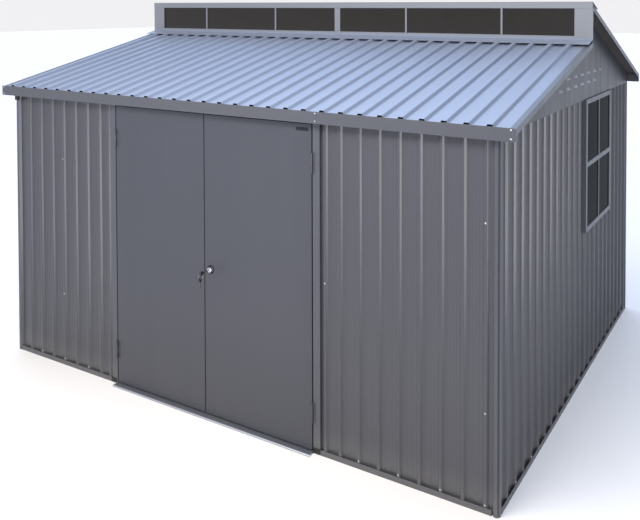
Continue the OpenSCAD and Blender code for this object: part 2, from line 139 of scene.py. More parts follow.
floor_paint = mottled("pale_floor_paint", "#f6f3f0", "#fbf9f6", 0.7, 3.0,
                      {"Roughness": 0.9, "Specular IOR Level": 0.0})[0]
REACH = 60
floor = solid("floor", [(-REACH, -REACH, 0), (REACH, -REACH, 0), (REACH, REACH, 0),
                        (-REACH, REACH, 0)], [(0, 1, 2, 3)], floor_paint)
floor.location.z = -0.5 * MM

sky = bpy.data.worlds.new("soft_sky")
bpy.context.scene.world = sky
sky.use_nodes = True
tree = sky.node_tree
aim = put(tree, "SeparateXYZ", {}, {0: put(tree, "TexCoord").outputs["Generated"]})
height = put(tree, "MapRange", {"interpolation_type": "SMOOTHSTEP", 1: 0.2, 2: 0.45},
             {0: aim.outputs["Z"]})
behind = put(tree, "MapRange", {"interpolation_type": "SMOOTHSTEP", 1: 0.0, 2: 0.6},
             {0: aim.outputs["Y"]})
blue = put(tree, "Math", {"operation": "MULTIPLY"},
           {0: height.outputs[0], 1: behind.outputs[0]})
bright_blue = put(tree, "VectorMath", {"operation": "SCALE", 0: linear("#a4bfe8")[:3],
                                       "Scale": 2.2})
dome = put(tree, "Mix", {"data_type": "RGBA", 6: linear("#fdfcff")},
           {0: blue.outputs[0], 7: bright_blue.outputs[0]})
side = put(tree, "MapRange", {"interpolation_type": "SMOOTHSTEP", 1: 0.1, 2: 0.85,
                              3: 1.0, 4: 0.33}, {0: aim.outputs["X"]})
zenith = put(tree, "MapRange", {"interpolation_type": "SMOOTHSTEP", 1: 0.4, 2: 0.95,
                                3: 1.0, 4: 1.8}, {0: aim.outputs["Z"]})
factor = put(tree, "Math", {"operation": "MULTIPLY"},
             {0: side.outputs[0], 1: zenith.outputs[0]})
shade = put(tree, "VectorMath", {"operation": "SCALE"},
            {0: dome.outputs[2], "Scale": factor.outputs[0]})
tree.links.new(shade.outputs[0], tree.nodes["Background"].inputs["Color"])
tree.nodes["Background"].inputs["Strength"].default_value = 0.9


def softbox(name, wide, high, watts, at, target, sheen_only=False):
    """A rectangular lamp, itself out of sight, at one point and facing another.
    Its light can be kept to the sheen, so that it lifts no flat tone."""
    lamp = bpy.data.lights.new(name, "AREA")
    lamp.shape = "RECTANGLE"
    lamp.size = wide
    lamp.size_y = high
    lamp.energy = watts
    lamp.color = (1.0, 0.98, 0.97)
    stand = bpy.data.objects.new(name, lamp)
    bpy.context.scene.collection.objects.link(stand)
    stand.location = at
    facing = Vector(target) - stand.location
    stand.rotation_euler = facing.to_track_quat("-Z", "Y").to_euler()
    stand.visible_camera = False
    stand.visible_diffuse = not sheen_only


softbox("front_softbox", 2.8, 0.8, 82, (0.6, front_y - 1.8, 3.3), (0.4, front_y, 1.7))
softbox("flank_softbox", 1.6, 2.2, 95, (half_w + 2.4, front_y - 0.9, 1.1),
        (half_w - 0.8, front_y + 0.6, 0.9), sheen_only=True)
softbox("pier_softbox", 1.2, 1.6, 30, (0.3, front_y - 1.2, 0.8),
        (-0.2 - half_w, front_y - 0.4, 0.9), sheen_only=True)

# The camera stands in front of the right corner, a little higher than the
# roof windows' sill, and looks almost level with its view shifted down.
lens = bpy.data.cameras.new("view")
lens.sensor_width = 36
lens.lens = 41.46
lens.shift_x = -0.1259
lens.shift_y = -0.3684
camera = bpy.data.objects.new("view", lens)
bpy.context.scene.collection.objects.link(camera)
camera.location = (2.911, front_y - 3.079, 2.314)
turn, dip = -0.5023, -0.0245
camera.rotation_euler = Vector((math.sin(turn) * math.cos(dip),
                                math.cos(turn) * math.cos(dip),
                                math.sin(dip))).to_track_quat("-Z", "Y").to_euler()
bpy.context.scene.camera = camera
bpy.context.scene.view_settings.view_transform = "Standard"

# ---------------------------------------------------------------- Base rails
# Roll-formed channels of coated steel, laid on the ground between the corner
# posts. The wall sheets stand in them. They gather dust along the ground.


def coated_steel(name, colour, shade, rough, dusty=0.35, grain=(26, 26, 0.9)):
    """Coil-coated steel: satin polyester paint on a thin sheet. The eye sees
    an even tone with soft patches, faint runs down the sheet, a fine orange
    peel and the slight waves of a sheet that is not quite flat."""
    made, tree, skin, where = bare(name, {})
    # patches half a metre wide and runs about 40 mm apart
    patch = put(tree, "TexNoise", {"Scale": 2.1, "Detail": 3.0}, {"Vector": where})
    along = put(tree, "Mapping", {"Scale": grain}, {"Vector": where})
    runs = put(tree, "TexNoise", {"Scale": 1.0, "Detail": 4.0, "Roughness": 0.6},
               {"Vector": along.outputs[0]})
    mixed = put(tree, "Math", {"operation": "MULTIPLY"},
                {0: patch.outputs[0], 1: runs.outputs[0]})
    share = put(tree, "MapRange", {1: 0.05, 2: 0.6, 3: 0.3, 4: 0.7},
                {0: mixed.outputs[0]})
    tone = put(tree, "Mix", {"data_type": "RGBA", 6: linear(colour), 7: linear(shade)},
               {0: share.outputs[0]})
    # dust splashed up over the lowest 180 mm
    high = put(tree, "SeparateXYZ", {}, {0: where})
    splash = put(tree, "MapRange", {"interpolation_type": "SMOOTHSTEP", 1: 0.0, 2: 0.18,
                                    3: dusty, 4: 0.0}, {0: high.outputs["Z"]})
    specks = put(tree, "TexNoise", {"Scale": 60.0, "Detail": 5.0}, {"Vector": where})
    dust = put(tree, "Math", {"operation": "MULTIPLY"},
               {0: splash.outputs[0], 1: specks.outputs[0]})
    coat = put(tree, "Mix", {"data_type": "RGBA", 7: linear("#8d8a84")},
               {0: dust.outputs[0], 6: tone.outputs[2]})
    tree.links.new(coat.outputs[2], skin.inputs["Base Color"])
    dull = put(tree, "MapRange", {1: 0.3, 2: 0.7, 3: rough - 0.05, 4: rough + 0.07},
               {0: runs.outputs[0]})
    tree.links.new(dull.outputs[0], skin.inputs["Roughness"])
    # waves about 300 mm long, and an orange peel of 2 mm
    wave = put(tree, "TexNoise", {"Scale": 3.2, "Detail": 1.0}, {"Vector": where})
    bend = put(tree, "Bump", {"Strength": 0.35, "Distance": 0.004},
               {"Height": wave.outputs[0]})
    peel = put(tree, "TexNoise", {"Scale": 500.0, "Detail": 2.0}, {"Vector": where})
    fine = put(tree, "Bump", {"Strength": 0.12, "Distance": 0.0002},
               {"Height": peel.outputs[0], "Normal": bend.outputs[0]})
    tree.links.new(fine.outputs[0], skin.inputs["Normal"])
    return made


def folded(name, node, skin, radius):
    """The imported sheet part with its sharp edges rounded, in its place."""
    mesh = nodes[node].data.copy()
    shape = bmesh.new()
    shape.from_mesh(mesh)
    bmesh.ops.remove_doubles(shape, verts=shape.verts, dist=1e-6)
    bmesh.ops.dissolve_limit(shape, angle_limit=math.radians(0.5), verts=shape.verts,
                             edges=shape.edges)
    shape.to_mesh(mesh)
    shape.free()
    mesh.materials.clear()
    mesh.materials.append(skin)
    made = bpy.data.objects.new(name, mesh)
    bpy.context.scene.collection.objects.link(made)
    edge = made.modifiers.new("edge", "BEVEL")
    edge.width = radius
    edge.segments = 2
    edge.limit_method = "ANGLE"
    edge.angle_limit = math.radians(35)
    for face in mesh.polygons:
        face.use_smooth = False
    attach(made, nodes[node]["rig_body"])
    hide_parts(node)
    return made


def dress(names, skin):
    """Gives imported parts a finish."""
    for name in names:
        mesh = nodes[name].data
        mesh.materials.clear()
        mesh.materials.append(skin)


trim_coat = coated_steel("grey_trim_coil_coat", "#4f5057", "#4a4b52", 0.4)
for name in ("base_front", "base_back", "base_sides"):
    folded(name + "_channel", name, trim_coat, 0.4 * MM)

# ---------------------------------------------------------------- Corner posts
# Folded trims with a hollow corner and sloped flanks that cover the ends of
# the wall sheets and are riveted to them. Same grey coil-coated steel.
folded("corner_post_trims", "corner_posts", trim_coat, 0.4 * MM)

# ---------------------------------------------------------------- Wall sheets
# Sheets rolled to narrow ribs 113 mm apart, with four fine beads in each flat
# between them that stiffen it and show as faint lines down the wall. Coated
# outside, with a thin brown-grey primer inside.
RIB_PITCH = 113 * MM
RIB_FOOT = 30 * MM
RIB_CROWN = 14 * MM
RIB_HIGH = 13 * MM
RIB_SOFT = 3.2 * MM
PAN = 16.3 * MM
SHEET = 0.6 * MM
BEADS = 4
BEAD_HALF = 3.6 * MM
BEAD_DEEP = 1.2 * MM
POST_LEG = 38 * MM
# middles of the first ribs, counted along each wall
LEFT_RIB = -1594 * MM
RIGHT_RIB = 865 * MM
BACK_RIB = -1639 * MM
SIDE_RIB = 4 * MM + RIB_PITCH
# the sheets run in behind the door posts, with a last rib beside each post
POST_LAP = 14 * MM
LEFT_END_RIB = 27 * MM
RIGHT_END_RIB = 29 * MM
# a whole rib needs this much room beside a door post
LEFT_CLEAR = 40 * MM
RIGHT_CLEAR = 50 * MM
FRAME_GAP = 0.3 * MM
ROWS = 6


def rib_places(first, low, high, foot):
    """Middles of the ribs that fit between low and high."""
    places = []
    at = first
    while at <= high - foot / 2 - MM:
        if at - foot / 2 - MM >= low:
            places.append(at)
        at += RIB_PITCH
    return places


def rib_outline(low, high, ribs, face, foot, crown, rise, beads, soft):
    """The outer face seen on edge: (along, depth), with rolled corners."""
    flank = Vector(((foot - crown) / 2, rise)).normalized()
    line = [(low, face)]
    for i, at in enumerate(ribs):
        for side in (-1, 1):
            foot_at, top_at = at + side * foot / 2, at + side * crown / 2
            top_d = face - rise
            part = [(foot_at + side * soft, face),
                    (foot_at + side * soft * 0.2, face - soft * 0.16),
                    (foot_at - side * flank.x * soft, face - flank.y * soft),
                    (top_at + side * flank.x * soft, top_d + flank.y * soft),
                    (top_at - side * soft * 0.2, top_d + soft * 0.16),
                    (top_at - side * soft, top_d)]
            line += part if side < 0 else part[::-1]
        if beads and i + 1 < len(ribs):
            start = at + foot / 2
            flat = ribs[i + 1] - foot / 2 - start
            for k in range(1, beads + 1):
                middle = start + flat * k / (beads + 1)
                line += [(middle - BEAD_HALF, face), (middle, face + BEAD_DEEP),
                         (middle + BEAD_HALF, face)]
    line.append((high, face))
    return line


def rolled_sheet(name, outline, rows, place, thick, skin):
    """A closed sheet: the outline carried along the rows and given a thickness."""
    count = len(outline)
    points = []
    for row in rows:
        points += [place(u, row, d) for u, d in outline]
        points += [place(u, row, d + thick) for u, d in outline]
    faces = []
    ring = 2 * count
    for r in range(len(rows) - 1):
        a, b = r * ring, (r + 1) * ring
        for i in range(count - 1):
            faces.append((a + i, a + i + 1, b + i + 1, b + i))
            faces.append((a + count + i, b + count + i, b + count + i + 1,
                          a + count + i + 1))
        for i in (0, count - 1):
            faces.append((a + i, b + i, b + count + i, a + count + i))
    for a in (0, (len(rows) - 1) * ring):
        for i in range(count - 1):
            faces.append((a + i, a + count + i, a + count + i + 1, a + i + 1))
    return solid(name, points, faces, skin, 34)


# places on the four walls: along the wall, up it, and inwards from its line
def on_front(u, v, d):
    return (u, front_y + d, v)


def on_back(u, v, d):
    return (-u, back_y - d, v)


def on_right(u, v, d):
    return (half_w - d, front_y + u, v)


def on_left(u, v, d):
    return (-half_w + d, front_y + u, v)


wall_coat = coated_steel("grey_wall_coil_coat", "#4b4b51", "#45464c", 0.38)

# a thin matt primer: the eye sees a dull, slightly blotchy dark brown-grey
backing = mottled("brown_grey_backing_coat", "#3a3634", "#45413e", 14.0, 4.0,
                  {"Roughness": 0.7})[0]


def back_coated(made, inwards):
    """Gives the backing coat to the faces that look into the shed."""
    made.data.materials.append(backing)
    for face in made.data.polygons:
        if face.normal.dot(inwards) > 0.3:
            face.material_index = 1


def wall_piece(name, node, low, high, ribs, bottom, top, place):
    """A ribbed sheet from low to high along its wall, coated on both faces."""
    outline = rib_outline(low, high, ribs, PAN, RIB_FOOT, RIB_CROWN, RIB_HIGH, BEADS,
                          RIB_SOFT)
    rows = [bottom + (top - bottom) * k / ROWS for k in range(ROWS + 1)]
    made = rolled_sheet(name, outline, rows, place, SHEET, wall_coat)
    back_coated(made, (Vector(place(0, 0, 1)) - Vector(place(0, 0, 0))).normalized())
    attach(made, "shed")
    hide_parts(node)


depth = back_y - front_y
jamb_low, jamb_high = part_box("door_jambs")
frame_low, frame_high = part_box("window_frame")
near, far = frame_low.y - front_y, frame_high.y - front_y
left_ribs = rib_places(LEFT_RIB, -half_w + POST_LEG, jamb_low.x - LEFT_CLEAR, RIB_FOOT)
right_ribs = rib_places(RIGHT_RIB, jamb_high.x + RIGHT_CLEAR, half_w - POST_LEG, RIB_FOOT)
back_ribs = rib_places(BACK_RIB, -half_w + POST_LEG, half_w - POST_LEG, RIB_FOOT)
side_ribs = rib_places(SIDE_RIB, POST_LEG, depth - POST_LEG, RIB_FOOT)

low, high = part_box("front_wall")
wall_piece("front_sheet_left", "front_wall", low.x, jamb_low.x + POST_LAP,
           left_ribs + [jamb_low.x - LEFT_END_RIB], low.z, high.z, on_front)
wall_piece("front_sheet_right", "front_wall", jamb_high.x - POST_LAP, high.x,
           [jamb_high.x + RIGHT_END_RIB] + right_ribs, low.z, high.z, on_front)
low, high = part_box("back_wall")
wall_piece("back_sheet", "back_wall", low.x, high.x, back_ribs, low.z, high.z, on_back)
low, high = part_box("left_wall")
wall_piece("left_sheet", "left_wall", low.y - front_y, high.y - front_y, side_ribs,
           low.z, high.z, on_left)
low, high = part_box("right_wall_sides")
wall_piece("right_sheet_front", "right_wall_sides", low.y - front_y, near - FRAME_GAP,
           rib_places(SIDE_RIB, POST_LEG, near, RIB_FOOT), low.z, high.z, on_right)
wall_piece("right_sheet_rear", "right_wall_sides", far + FRAME_GAP, high.y - front_y,
           rib_places(SIDE_RIB, far, depth - POST_LEG, RIB_FOOT), low.z, high.z,
           on_right)
low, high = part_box("right_wall_below")
wall_piece("right_sheet_below", "right_wall_below", near, far,
           rib_places(SIDE_RIB, near, far, RIB_FOOT), low.z, high.z, on_right)

# ---------------------------------------------------------------- Gables
# Plain sheets above the side walls, up to both roofs, with two rows of
# pressed louvres whose slots face down.
gable_coat = coated_steel("grey_gable_coil_coat", "#414347", "#3d3f43", 0.4)
dress(("gable_left", "gable_right"), gable_coat)

# painted shade: the dark of an open slot, painted near black with the faintest mottle
shadow = mottled("open_slot_shadow", "#0b0b0c", "#19191b", 90.0, 2.0,
                 {"Roughness": 0.9})[0]
# painted sheen: the hoods are pressed in the grey gable sheet, and their coat is painted
# pale for the sky's sheen on their tops
louvre_painted_sheen = coated_steel("louvre_sheen_painted_pale", "#a2a5ab", "#9a9da3", 0.34)
LOUVRE_LONG = 74 * MM
LOUVRE_HIGH = 14 * MM
LOUVRE_OUT = 9 * MM
LOUVRE_STEP = 150 * MM
LOUVRES = 6
LOUVRE_ROWS = ((1835 * MM, 915 * MM), (1893 * MM, 1065 * MM))
GABLE_FACE = 1.5 * MM


def louvre(points, faces, place, along, height):
    """One pressed hood: rounded in plan, closed underneath by a face that takes the painted
    slot shade.
    """
    base = len(points)
    steps = 12
    for k in range(steps + 1):
        t = -1 + 2 * k / steps
        out = LOUVRE_OUT * math.sqrt(max(0.0, 1 - t ** 4))
        u = along + t * LOUVRE_LONG / 2
        for v, d in ((height + LOUVRE_HIGH, 0.2 * MM),
                     (height + LOUVRE_HIGH * 0.6, -out * 0.55),
                     (height + LOUVRE_HIGH * 0.16, -out),
                     (height, -out * 0.96),
                     (height + 0.6 * MM, 0.2 * MM)):
            points.append(place(u, v, GABLE_FACE + d))
    for k in range(steps):
        a, b = base + 5 * k, base + 5 * (k + 1)
        for j in range(4):
            faces.append((a + j, a + j + 1, b + j + 1, b + j))
        faces.append((a + 4, a, b, b + 4))
    for a in (base, base + 5 * steps):
        faces.append((a, a + 1, a + 2, a + 3, a + 4))


for side, place in (("right", on_right), ("left", on_left)):
    points, faces = [], []
    for height, first in LOUVRE_ROWS:
        for k in range(LOUVRES):
            louvre(points, faces, place, first + k * LOUVRE_STEP, height)
    vents = solid("gable_louvres_" + side, points, faces, louvre_painted_sheen, 50)
    # the downward faces, the hoods' undersides, take the near-black painted slot shade
    vents.data.materials.append(shadow)
    for face in vents.data.polygons:
        if face.normal.z < -0.8:
            face.material_index = 1
    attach(vents, "shed")

# ---------------------------------------------------------------- Inner framing
# Galvanised channels, rafters and box beams that carry the sheets from the
# inside. Bare zinc with a soft crystal pattern, seen with the doors open.
zinc, tree, skin, where = bare("galvanised_channel", {"Metallic": 0.85})
# zinc crystals about 12 mm across
spangle = put(tree, "TexVoronoi", {"Scale": 80.0}, {"Vector": where})
tone = put(tree, "Mix", {"data_type": "RGBA", 6: linear("#8d9094"), 7: linear("#a7aaae")},
           {0: spangle.outputs["Color"]})
tree.links.new(tone.outputs[2], skin.inputs["Base Color"])
dull = put(tree, "MapRange", {3: 0.38, 4: 0.58}, {0: spangle.outputs["Distance"]})
tree.links.new(dull.outputs[0], skin.inputs["Roughness"])
dress(("wall_girts", "top_rails", "rafters_front", "rafters_rear", "roof_beams",
       "stiffeners_left", "stiffeners_right"), zinc)

# ---------------------------------------------------------------- Roof sheets
# Wider ribs 16 mm high run up both slopes at the walls' own spacing. The
# glossy coating mirrors the sky, and its colour is also painted paler and bluer
# than the walls' grey as a painted sky reflection, so the roof reads lighter and bluer.
ROOF_FOOT = 40 * MM
ROOF_CROWN = 24 * MM
ROOF_RISE = 16 * MM
ROOF_SOFT = 1.6 * MM
ROOF_SHEET = 0.8 * MM
# the sheets' top face lies this far above their underside, ribs apart
ROOF_FACE = 1.2 * MM
ROOF_RIB = -1699 * MM
ROOF_CLEAR = 34 * MM
# the front roof climbs 243 mm in each metre and the rear roof 375 mm
FRONT_SLOPE = math.atan(0.2428)
REAR_SLOPE = math.atan(521 / 1390)
# the sheets and the eave boards end this far inside the verges
VERGE_INSET = 2 * MM
BOARD_INSET = 1.5 * MM
# painted reflection: the base colour is lighter and bluer than the walls' grey, standing in
# for the sky's sheen
roof_coat_painted_sky = coated_steel("roof_coil_coat_painted_sky", "#868fa2", "#7e889b", 0.33,
                         dusty=0.0, grain=(20, 1.2, 1.2))
verge_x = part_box("front_fascia")[1].x + BOARD_INSET
roof_ribs = rib_places(ROOF_RIB, -verge_x + ROOF_CLEAR, verge_x - ROOF_CLEAR, ROOF_FOOT)
outline = rib_outline(-verge_x + VERGE_INSET, verge_x - VERGE_INSET, roof_ribs,
                      -ROOF_FACE, ROOF_FOOT, ROOF_CROWN, ROOF_RISE, 0, ROOF_SOFT)


def roof_piece(name, node, eave, slope, facing, length):
    """A ribbed sheet up one slope from its eave. facing is 1 where the slope
    climbs to the back and -1 to the front."""
    def place(u, v, d):
        return (u,
                eave[0] + facing * (v * math.cos(slope) + d * math.sin(slope)),
                eave[1] + v * math.sin(slope) - d * math.cos(slope))
    rows = [length * k / ROWS for k in range(ROWS + 1)]
    made = rolled_sheet(name, outline, rows, place, ROOF_SHEET, roof_coat_painted_sky)
    back_coated(made, Vector((0, 0, -1)))
    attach(made, "shed")
    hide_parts(node)


low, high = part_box("roof_front")
rise = ROOF_RISE + ROOF_FACE
eave_front = (low.y + rise * math.sin(FRONT_SLOPE), low.z)
roof_piece("roof_sheet_front", "roof_front", eave_front, FRONT_SLOPE, 1,
           (high.y - eave_front[0]) / math.cos(FRONT_SLOPE))
low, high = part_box("roof_rear")
eave_rear = (high.y - rise * math.sin(REAR_SLOPE), low.z)
roof_piece("roof_sheet_rear", "roof_rear", eave_rear, REAR_SLOPE, -1,
           (eave_rear[0] - low.y) / math.cos(REAR_SLOPE))

# ---------------------------------------------------------------- Eave boards and verges
# Folded fascia channels along both eaves and angle trims down the roofs'
# ends, riveted on. The front board is in two lengths with a lapped joint.
folded("front_eave_board", "front_fascia", trim_coat, 0.55 * MM)
folded("rear_eave_board", "rear_fascia", trim_coat, 0.55 * MM)
verge_coat = coated_steel("grey_verge_coil_coat", "#63676f", "#5d616a", 0.38,
                          dusty=0.0, grain=(1.2, 20, 1.2))
folded("verge_angles", "verge_trims", verge_coat, 0.4 * MM)

LAP_HALF = 14 * MM
LAP_OUT = 0.6 * MM
LAP_EDGE = 0.4 * MM
BOX_FACES = ((0, 1, 3, 2), (4, 6, 7, 5), (0, 4, 5, 1), (2, 3, 7, 6), (0, 2, 6, 4),
             (1, 5, 7, 3))
low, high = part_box("front_fascia")
points = [(jamb_high.x + x, low.y - y, z) for x in (-LAP_HALF, LAP_HALF)
          for y in (LAP_OUT, -LAP_EDGE) for z in (low.z + LAP_EDGE, high.z - LAP_EDGE)]
lap = solid("front_eave_lap", points, BOX_FACES, trim_coat)
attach(lap, "shed")

# ---------------------------------------------------------------- Roof window strip
# A low upright strip between the roofs: a flashing on the front roof's ribs,
# sill, end posts, bars and cap in pale coated steel around tinted panes.
strip_coat = coated_steel("pale_strip_coil_coat", "#878a90", "#7e8187", 0.38,
                          dusty=0.0, grain=(1.2, 20, 1.2))
# the flashing takes the roof's coat with its painted sky reflection
folded("strip_flashing_sheet", "strip_flashing", roof_coat_painted_sky, 0.4 * MM)
folded("strip_sill_rail", "strip_sill", strip_coat, 0.8 * MM)
folded("strip_end_posts", "strip_posts", strip_coat, 0.4 * MM)
folded("strip_pane_bars", "strip_bars", strip_coat, 0.8 * MM)
folded("strip_cap", "strip_head", strip_coat, 0.4 * MM)


def acrylic_sheet(name, tint_and_shade, rough, through, mirror):
    """Acrylic: a smooth sheet over a dark body, with a faint bloom of dust. Its
    colour is a tint on the roof windows and painted shade on the side window.
    through is how much light passes it, and mirror how much it reflects."""
    made, tree, skin, where = bare(name, {
        "Base Color": linear(tint_and_shade), "Transmission Weight": through, "IOR": 1.49,
        "Specular IOR Level": mirror})
    bloom = put(tree, "TexNoise", {"Scale": 6.0, "Detail": 5.0}, {"Vector": where})
    haze = put(tree, "MapRange", {1: 0.35, 2: 0.75, 3: rough, 4: rough + 0.09},
               {0: bloom.outputs[0]})
    tree.links.new(haze.outputs[0], skin.inputs["Roughness"])
    # sheets this thin bow a little between their fixings
    sag = put(tree, "TexNoise", {"Scale": 2.5}, {"Vector": where})
    bow = put(tree, "Bump", {"Strength": 0.3, "Distance": 0.003},
              {"Height": sag.outputs[0]})
    tree.links.new(bow.outputs[0], skin.inputs["Normal"])
    return made


dress(("strip_glass",), acrylic_sheet("bronze_tinted_acrylic", "#2a2420", 0.06, 0.45, 0.36))

# rubber cord with a chalky bloom: dull, near black and a little uneven; the same near black
# is the painted shade in the door gaps
black_rubber_and_gap_shade = mottled("black_epdm_bead_and_gap_shade", "#1b1b1c", "#2b2b2d", 120.0, 3.0,
                 {"Roughness": 0.7})[0]


def bead_frame(points, faces, place, u0, u1, v0, v1, wide, front, back):
    """A glazing bead: a mitred ring round one pane, bevelled to the glass."""
    base = len(points)
    for u, v, su, sv in ((u0, v0, 1, 1), (u1, v0, -1, 1), (u1, v1, -1, -1),
                         (u0, v1, 1, -1)):
        points.append(place(u, v, front))
        points.append(place(u + su * wide * 0.6, v + sv * wide * 0.6, front))
        points.append(place(u + su * wide, v + sv * wide, back))
        points.append(place(u, v, back))
    for k in range(4):
        a, b = base + 4 * k, base + 4 * ((k + 1) % 4)
        for j in range(4):
            faces.append((a + j, a + (j + 1) % 4, b + (j + 1) % 4, b + j))


BEAD_BACK = -0.1 * MM
STRIP_BEAD = 3 * MM
STRIP_BEAD_OUT = -1.6 * MM
POST_W = 110 * MM
BAR_FAR = 1236 * MM
BAR_NEAR = 553 * MM
BAR_HALF = 6 * MM
MIDDLE_HALF = 23 * MM
glass_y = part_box("strip_glass")[0].y
bars_low, bars_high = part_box("strip_bars")
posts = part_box("strip_posts")
edges = [posts[0].x + POST_W, -BAR_FAR, -BAR_NEAR, 0, BAR_NEAR, BAR_FAR,
         posts[1].x - POST_W]
half_bars = [0, BAR_HALF, BAR_HALF, MIDDLE_HALF, BAR_HALF, BAR_HALF, 0]


def strip_place(u, v, d):
    return (u, glass_y + d, v)


points, faces = [], []
for k in range(6):
    bead_frame(points, faces, strip_place, edges[k] + half_bars[k],
               edges[k + 1] - half_bars[k + 1], bars_low.z, bars_high.z,
               STRIP_BEAD, STRIP_BEAD_OUT, BEAD_BACK)
beads = solid("strip_glazing_beads", points, faces, black_rubber_and_gap_shade)
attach(beads, "shed")

# ---------------------------------------------------------------- Side window
# A casing of folded steel that stands proud of the ribs, with a rail across
# the middle and a bar down each half, over dark panes held by black beads.
# The panes are painted so dark that they let no light through and mirror next
# to none: painted shade in place of the dim shed seen through them.
CASING = 30 * MM
RAIL_HALF = 15 * MM
BAR_SLIM = 7 * MM
RAIL_ABOVE = 6 * MM
WINDOW_BEAD = 4 * MM
WINDOW_BEAD_OUT = -2.4 * MM
window_coat = coated_steel("grey_window_coil_coat", "#5c5f65", "#56595f", 0.4)
folded("window_casing", "window_frame", window_coat, 1.2 * MM)
# painted shade: the panes are near black and opaque in place of the dim inside seen through
# them
dress(("window_glass",), acrylic_sheet("side_window_acrylic_painted_dark", "#121514", 0.05, 0.0, 0.004))
pane_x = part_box("window_glass")[1].x
middle_y = (frame_low.y + frame_high.y) / 2 - front_y
middle_z = (frame_low.z + frame_high.z) / 2 + RAIL_ABOVE


def window_place(u, v, d):
    return (pane_x - d, front_y + u, v)


points, faces = [], []
for u0, u1 in ((near + CASING, middle_y - BAR_SLIM), (middle_y + BAR_SLIM, far - CASING)):
    for v0, v1 in ((frame_low.z + CASING, middle_z - RAIL_HALF),
                   (middle_z + RAIL_HALF, frame_high.z - CASING)):
        bead_frame(points, faces, window_place, u0, u1, v0, v1, WINDOW_BEAD,
                   WINDOW_BEAD_OUT, BEAD_BACK)
beads = solid("window_glazing_beads", points, faces, black_rubber_and_gap_shade)
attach(beads, "shed")

# ---------------------------------------------------------------- Doorway
# Folded posts and a header in grey coated steel, a bright folded ramp on the
# ground between the posts, and moulded plugs at the feet of the posts.
folded("door_posts", "door_jambs", trim_coat, 0.4 * MM)
folded("doorway_header", "door_header", trim_coat, 0.4 * MM)

bright, tree, skin, where = bare("rolled_aluminium_ramp", {"Metallic": 0.85})
# rolling lines run along the ramp, about 2 mm apart
along = put(tree, "Mapping", {"Scale": (3, 450, 450)}, {"Vector": where})
lines = put(tree, "TexNoise", {"Scale": 1.0, "Detail": 4.0}, {"Vector": along.outputs[0]})
tone = put(tree, "Mix", {"data_type": "RGBA", 6: linear("#9b9fa7"), 7: linear("#abafb6")},
           {0: lines.outputs[0]})
tree.links.new(tone.outputs[2], skin.inputs["Base Color"])
dull = put(tree, "MapRange", {3: 0.28, 4: 0.42}, {0: lines.outputs[0]})
tree.links.new(dull.outputs[0], skin.inputs["Roughness"])
scratch = put(tree, "Bump", {"Strength": 0.2, "Distance": 0.0002},
              {"Height": lines.outputs[0]})
tree.links.new(scratch.outputs[0], skin.inputs["Normal"])
folded("doorway_ramp", "threshold", bright, 0.8 * MM)

# injection-moulded plastic: near black, with pores of about a millimetre
moulded, tree, skin, pores = mottled("black_moulded_polypropylene", "#0e0e0f", "#18181a",
                                     700.0, 2.0, {"Roughness": 0.5})
grain = put(tree, "Bump", {"Strength": 0.2, "Distance": 0.0002}, {"Height": pores})
tree.links.new(grain.outputs[0], skin.inputs["Normal"])
folded("post_plugs", "end_caps", moulded, 1.5 * MM)

# painted shade: near-black strips on the posts behind the leaves' edges, and a
# thin near-black lining on the posts' and the leaves' sides, which make the gaps read black
POST_FACE = 43 * MM
SHADE_STRIP = 5 * MM
SHADE_STRIP_GAP = 0.5 * MM
SHADE_LINING = 1 * MM
left_low, left_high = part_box("door_left")
right_low, right_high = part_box("door_right")
left_post, right_post = jamb_low.x + POST_FACE, jamb_high.x - POST_FACE


def strips(name, spans, body):
    """Upright strips as high as the leaves, each from x0 to x1 and y0 to y1."""
    points, faces = [], []
    for x0, x1, y0, y1 in spans:
        base = len(points)
        points += [(x, y, z) for x in (x0, x1) for y in (y0, y1)
                   for z in (left_low.z + MM, right_high.z - MM)]
        faces += [tuple(base + k for k in face) for face in BOX_FACES]
    made = solid(name, points, faces, black_rubber_and_gap_shade)
    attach(made, body)


shade_strip_y = (left_high.y + SHADE_STRIP_GAP, left_high.y + SHADE_STRIP_GAP + SHADE_STRIP)
shade_lining_y = (left_low.y + MM, left_high.y - MM)
strips("post_gap_shade", ((left_post, left_low.x + SHADE_STRIP, *shade_strip_y),
                      (right_high.x - SHADE_STRIP, right_post, *shade_strip_y),
                      (left_post, left_post + SHADE_LINING, *shade_lining_y),
                      (right_post - SHADE_LINING, right_post, *shade_lining_y)), "shed")
strips("left_leaf_gap_shade", ((left_low.x - SHADE_LINING, left_low.x, *shade_lining_y),
                          (left_high.x, left_high.x + SHADE_LINING, *shade_lining_y)), "left_leaf")
strips("right_leaf_gap_shade", ((right_high.x, right_high.x + SHADE_LINING, *shade_lining_y),
                           (right_low.x - SHADE_LINING, right_low.x, *shade_lining_y)), "right_leaf")

# ---------------------------------------------------------------- Hinges
# Steel butt hinges painted with the shed; the pins sit in the posts' outer
# knuckles and the leaf turns on them.
hinge_paint = coated_steel("grey_hinge_enamel", "#45464e", "#404149", 0.4, dusty=0.0)
dress(("hinge_fixed", "hinge_left", "hinge_right"), hinge_paint)

# ---------------------------------------------------------------- Door leaves
# Two flat sheets folded back round all four edges, stiffened by channels
# inside. Plain satin paint.
door_coat = coated_steel("grey_door_coil_coat", "#41424a", "#3d3f47", 0.4, dusty=0.0,
                         grain=(9, 9, 0.6))
folded("left_leaf_panel", "door_left", door_coat, 0.55 * MM)
folded("right_leaf_panel", "door_right", door_coat, 0.55 * MM)

# ---------------------------------------------------------------- Lock
# A round cam lock through the right leaf: a dark domed rose, and a chromed
# barrel with its plug, made by turning and polishing.


